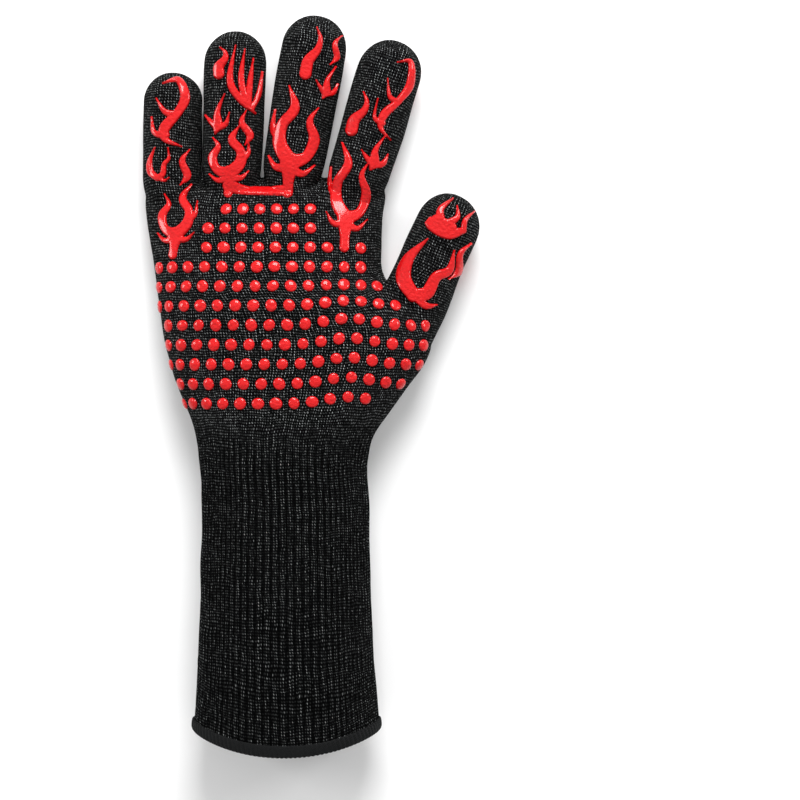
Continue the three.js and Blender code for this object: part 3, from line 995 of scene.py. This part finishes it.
class Nodes:
    """A material's node tree, with short ways to add what these materials need."""

    def __init__(self, name):
        self.material = bpy.data.materials.new(name)
        self.material.use_nodes = True
        self.tree = self.material.node_tree
        self.shader = self.tree.nodes["Principled BSDF"]

    def link(self, value, socket):
        if isinstance(value, bpy.types.NodeSocket):
            self.tree.links.new(value, socket)
        else:
            socket.default_value = value

    def math(self, operation, *values):
        node = self.tree.nodes.new("ShaderNodeMath")
        node.operation = operation
        for value, socket in zip(values, node.inputs):
            self.link(value, socket)
        return node.outputs[0]

    def knit(self):
        attribute = self.tree.nodes.new("ShaderNodeAttribute")
        attribute.attribute_name = "knit"
        split = self.tree.nodes.new("ShaderNodeSeparateXYZ")
        self.tree.links.new(attribute.outputs["Vector"], split.inputs[0])
        return split.outputs

    def noise(self, scale, detail=2.0):
        place = self.tree.nodes.new("ShaderNodeTexCoord")
        noise = self.tree.nodes.new("ShaderNodeTexNoise")
        noise.inputs["Scale"].default_value = scale
        noise.inputs["Detail"].default_value = detail
        self.tree.links.new(place.outputs["Object"], noise.inputs["Vector"])
        return noise.outputs["Fac"]

    def linear(self, value, offset, gain):
        return self.math("ADD", offset, self.math("MULTIPLY", value, gain))

    def random(self, first, second):
        pair = self.tree.nodes.new("ShaderNodeCombineXYZ")
        self.link(first, pair.inputs[0])
        self.link(second, pair.inputs[1])
        white = self.tree.nodes.new("ShaderNodeTexWhiteNoise")
        white.noise_dimensions = "2D"
        self.tree.links.new(pair.outputs[0], white.inputs["Vector"])
        return white.outputs["Value"]

    def mix(self, share, low, high):
        node = self.tree.nodes.new("ShaderNodeMix")
        node.data_type = "RGBA"
        self.link(share, node.inputs["Factor"])
        self.link(low, node.inputs["A"])
        self.link(high, node.inputs["B"])
        return node.outputs["Result"]

    def bump(self, height, distance):
        node = self.tree.nodes.new("ShaderNodeBump")
        node.inputs["Distance"].default_value = distance / MM
        self.link(height, node.inputs["Height"])
        self.link(node.outputs["Normal"], self.shader.inputs["Normal"])

    def set(self, **values):
        for name, value in values.items():
            self.link(value, self.shader.inputs[name.replace("_", " ")])


def stitch_height(nodes, u, v):
    """V-shaped stitches: the yarn's height, a random number for each leg, and 1 on right-hand legs."""
    leg = nodes.math("MULTIPLY", nodes.math("PINGPONG", u, 0.5), 2.0)
    slanted = nodes.math("ADD", v, nodes.math("MULTIPLY", leg, LEG_RISE))
    across = nodes.math("PINGPONG", nodes.math("MULTIPLY", leg, 2.0), 1.0)
    along = nodes.math("MULTIPLY", nodes.math("PINGPONG", slanted, 0.5), 2.0)
    rounds = []
    for share, fullness in zip((across, along), YARN_FULLNESS):
        arch = nodes.math("SINE", nodes.math("MULTIPLY", share, math.pi / 2))
        rounds.append(nodes.math("POWER", arch, fullness))
    height = nodes.math("MULTIPLY", *rounds)
    side = nodes.math("FLOOR", nodes.math("MULTIPLY", u, 2.0))
    return height, nodes.random(side, nodes.math("FLOOR", slanted)), nodes.math("PINGPONG", side, 1.0)


def knit_material():
    nodes = Nodes("charcoal_knit")
    u, v, rib = nodes.knit()
    wander = nodes.math("MULTIPLY", nodes.noise(KNIT_WANDER), WANDER_REACH)
    round_glove = nodes.math("ADD", u, wander)
    along_glove = nodes.math("ADD", v, wander)
    height, chance, right_leg = stitch_height(nodes, round_glove, along_glove)
    fibres = nodes.noise(KNIT_FIBRES, FIBRE_DETAIL)
    patches = nodes.noise(KNIT_PATCHES)
    # Painted shade: right-hand legs are darker, as if the light came from the left.
    lit = nodes.math("SUBTRACT", 1.0, nodes.math("MULTIPLY", right_leg, RIGHT_LEG_PAINTED_SHADE))
    uneven = nodes.linear(nodes.math("POWER", chance, BRIGHTNESS_POWER), DULLEST, 1 - DULLEST)
    # The painted highlight: a bright fleck on the crest of each stitch's yarn, brighter on some stitches than
    # others.
    crest = nodes.math("POWER", height, HIGHLIGHT_POWER)
    painted_highlight = nodes.math("MULTIPLY", crest, nodes.math("MULTIPLY", lit, uneven))
    share = nodes.math("MULTIPLY", painted_highlight, nodes.linear(fibres, *FIBRE_HIGHLIGHT))
    # Painted shade in the grooves between the cuff's ribs: the highlights fade out there.
    painted_rib_shade = nodes.math("MULTIPLY", nodes.math("PINGPONG", u, RIB_WALES / 2), 2 / RIB_WALES)
    share = nodes.math("MULTIPLY", share, nodes.math("SUBTRACT", 1.0, nodes.math("MULTIPLY", painted_rib_shade, rib)))
    dark = nodes.mix(patches, *KNIT_DARKS)
    nodes.set(Base_Color=nodes.mix(share, dark, KNIT_PAINTED_HIGHLIGHT), Roughness=0.9)
    nodes.set(Sheen_Weight=0.005, Sheen_Roughness=0.4, Specular_IOR_Level=0.02)
    nodes.bump(nodes.math("ADD", height, nodes.math("MULTIPLY", fibres, FIBRE_BUMP)), distance=0.4)
    return nodes.material


def liner_material():
    nodes = Nodes("cotton_liner")
    u, v, _ = nodes.knit()
    fine_u = nodes.math("MULTIPLY", u, LINER_GAUGE)
    fine_v = nodes.math("MULTIPLY", v, LINER_GAUGE)
    height, chance, _ = stitch_height(nodes, fine_u, fine_v)
    fluff = nodes.noise(LINER_FLUFF, FLUFF_DETAIL)
    # Painted light and shade: the liner is lighter on its yarn's crests and darker in the gaps between them.
    share = nodes.math("MULTIPLY", height, nodes.linear(chance, *LINER_LIGHT))
    nodes.set(Base_Color=nodes.mix(share, *LINER_COLOURS), Roughness=0.95)
    nodes.set(Sheen_Weight=0.4, Sheen_Roughness=0.6)
    nodes.bump(nodes.math("ADD", height, fluff), distance=0.3)
    return nodes.material


def hem_material():
    nodes = Nodes("overlock_thread")
    turns, round_edge, _ = nodes.knit()
    around, over = (nodes.math("MULTIPLY", *pair) for pair in zip((turns, round_edge), HEM_TWIST))
    strand = nodes.math("MULTIPLY", nodes.math("PINGPONG", nodes.math("ADD", around, over), 0.5), 2.0)
    fibres = nodes.noise(HEM_FIBRES, FIBRE_DETAIL)
    # Painted shade: each strand is darker towards its edges, where it meets the next one.
    share = nodes.math("MULTIPLY", nodes.math("POWER", strand, STRAND_POWER), fibres)
    nodes.set(Base_Color=nodes.mix(share, *HEM_COLOURS), Roughness=0.8)
    nodes.set(Sheen_Weight=0.02, Sheen_Roughness=0.5, Specular_IOR_Level=0.1)
    nodes.bump(nodes.math("ADD", strand, fibres), distance=0.25)
    return nodes.material


def silicone_material():
    nodes = Nodes("red_silicone")
    grain = nodes.noise(SILICONE_GRAIN, FIBRE_DETAIL)
    patches = nodes.noise(SILICONE_PATCHES)
    creases = nodes.noise(SILICONE_CREASES)
    share = nodes.math("ADD", nodes.math("MULTIPLY", grain, 0.5), nodes.math("MULTIPLY", patches, 0.5))
    nodes.set(Base_Color=nodes.mix(share, *RED_COLOURS))
    nodes.set(Roughness=nodes.linear(grain, *SILICONE_ROUGHNESS))
    nodes.set(Coat_Weight=0.6, Coat_Roughness=0.1, Specular_IOR_Level=0.1)
    nodes.bump(nodes.math("ADD", nodes.math("MULTIPLY", grain, GRAIN_BUMP), creases), distance=0.9)
    return nodes.material


# ---------------------------------------------------------------- the stage

def floor_material():
    nodes = Nodes("white_floor")
    nodes.set(Base_Color=FLOOR_COLOUR, Roughness=0.9)
    return nodes.material


def floor():
    corners = [(-1, -1), (1, -1), (1, 1), (-1, 1)]
    mesh = bpy.data.meshes.new("floor")
    mesh.from_pydata([(x * FLOOR_HALF, y * FLOOR_HALF, 0) for x, y in corners], [], [(0, 1, 2, 3)])
    mesh.materials.append(floor_material())
    ground = bpy.data.objects.new("floor", mesh)
    bpy.context.scene.collection.objects.link(ground)
    ground.location.z = -FLOOR_DROP


def area_light(name, location, size, power):
    data = bpy.data.lights.new(name, "AREA")
    data.size = size
    data.energy = power
    light = bpy.data.objects.new(name, data)
    bpy.context.scene.collection.objects.link(light)
    light.location = location
    light.rotation_euler = (-Vector(location)).to_track_quat("-Z", "Y").to_euler()


def lights():
    world = bpy.data.worlds.new("studio")
    bpy.context.scene.world = world
    world.use_nodes = True
    background = world.node_tree.nodes["Background"]
    background.inputs["Color"].default_value = (1, 1, 1, 1)
    background.inputs["Strength"].default_value = WORLD_STRENGTH
    for name, (location, size, power) in LIGHTS.items():
        area_light(name, location, size, power)


def colours():
    """Plain colour management, so that the white ground stays white as in a catalogue picture."""
    bpy.context.scene.view_settings.view_transform = "Standard"


def camera():
    data = bpy.data.cameras.new("camera")
    data.lens = VIEW_LENS
    data.sensor_width = SENSOR
    eye = bpy.data.objects.new("camera", data)
    bpy.context.scene.collection.objects.link(eye)
    distance = VIEW_WIDTH * VIEW_LENS / SENSOR
    eye.location = Vector((*VIEW_CENTRE, distance + VIEW_HEIGHT)) / MM
    bpy.context.scene.camera = eye


def build():
    looks = {"knit": knit_material(), "liner": liner_material(), "hem": hem_material(),
             "silicone": silicone_material()}
    skin = Skin()
    cloth(skin, looks)
    binding(looks)
    for side in (1, -1):
        print_on(skin, side, looks)
    floor()
    lights()
    colours()
    camera()


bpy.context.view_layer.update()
build()
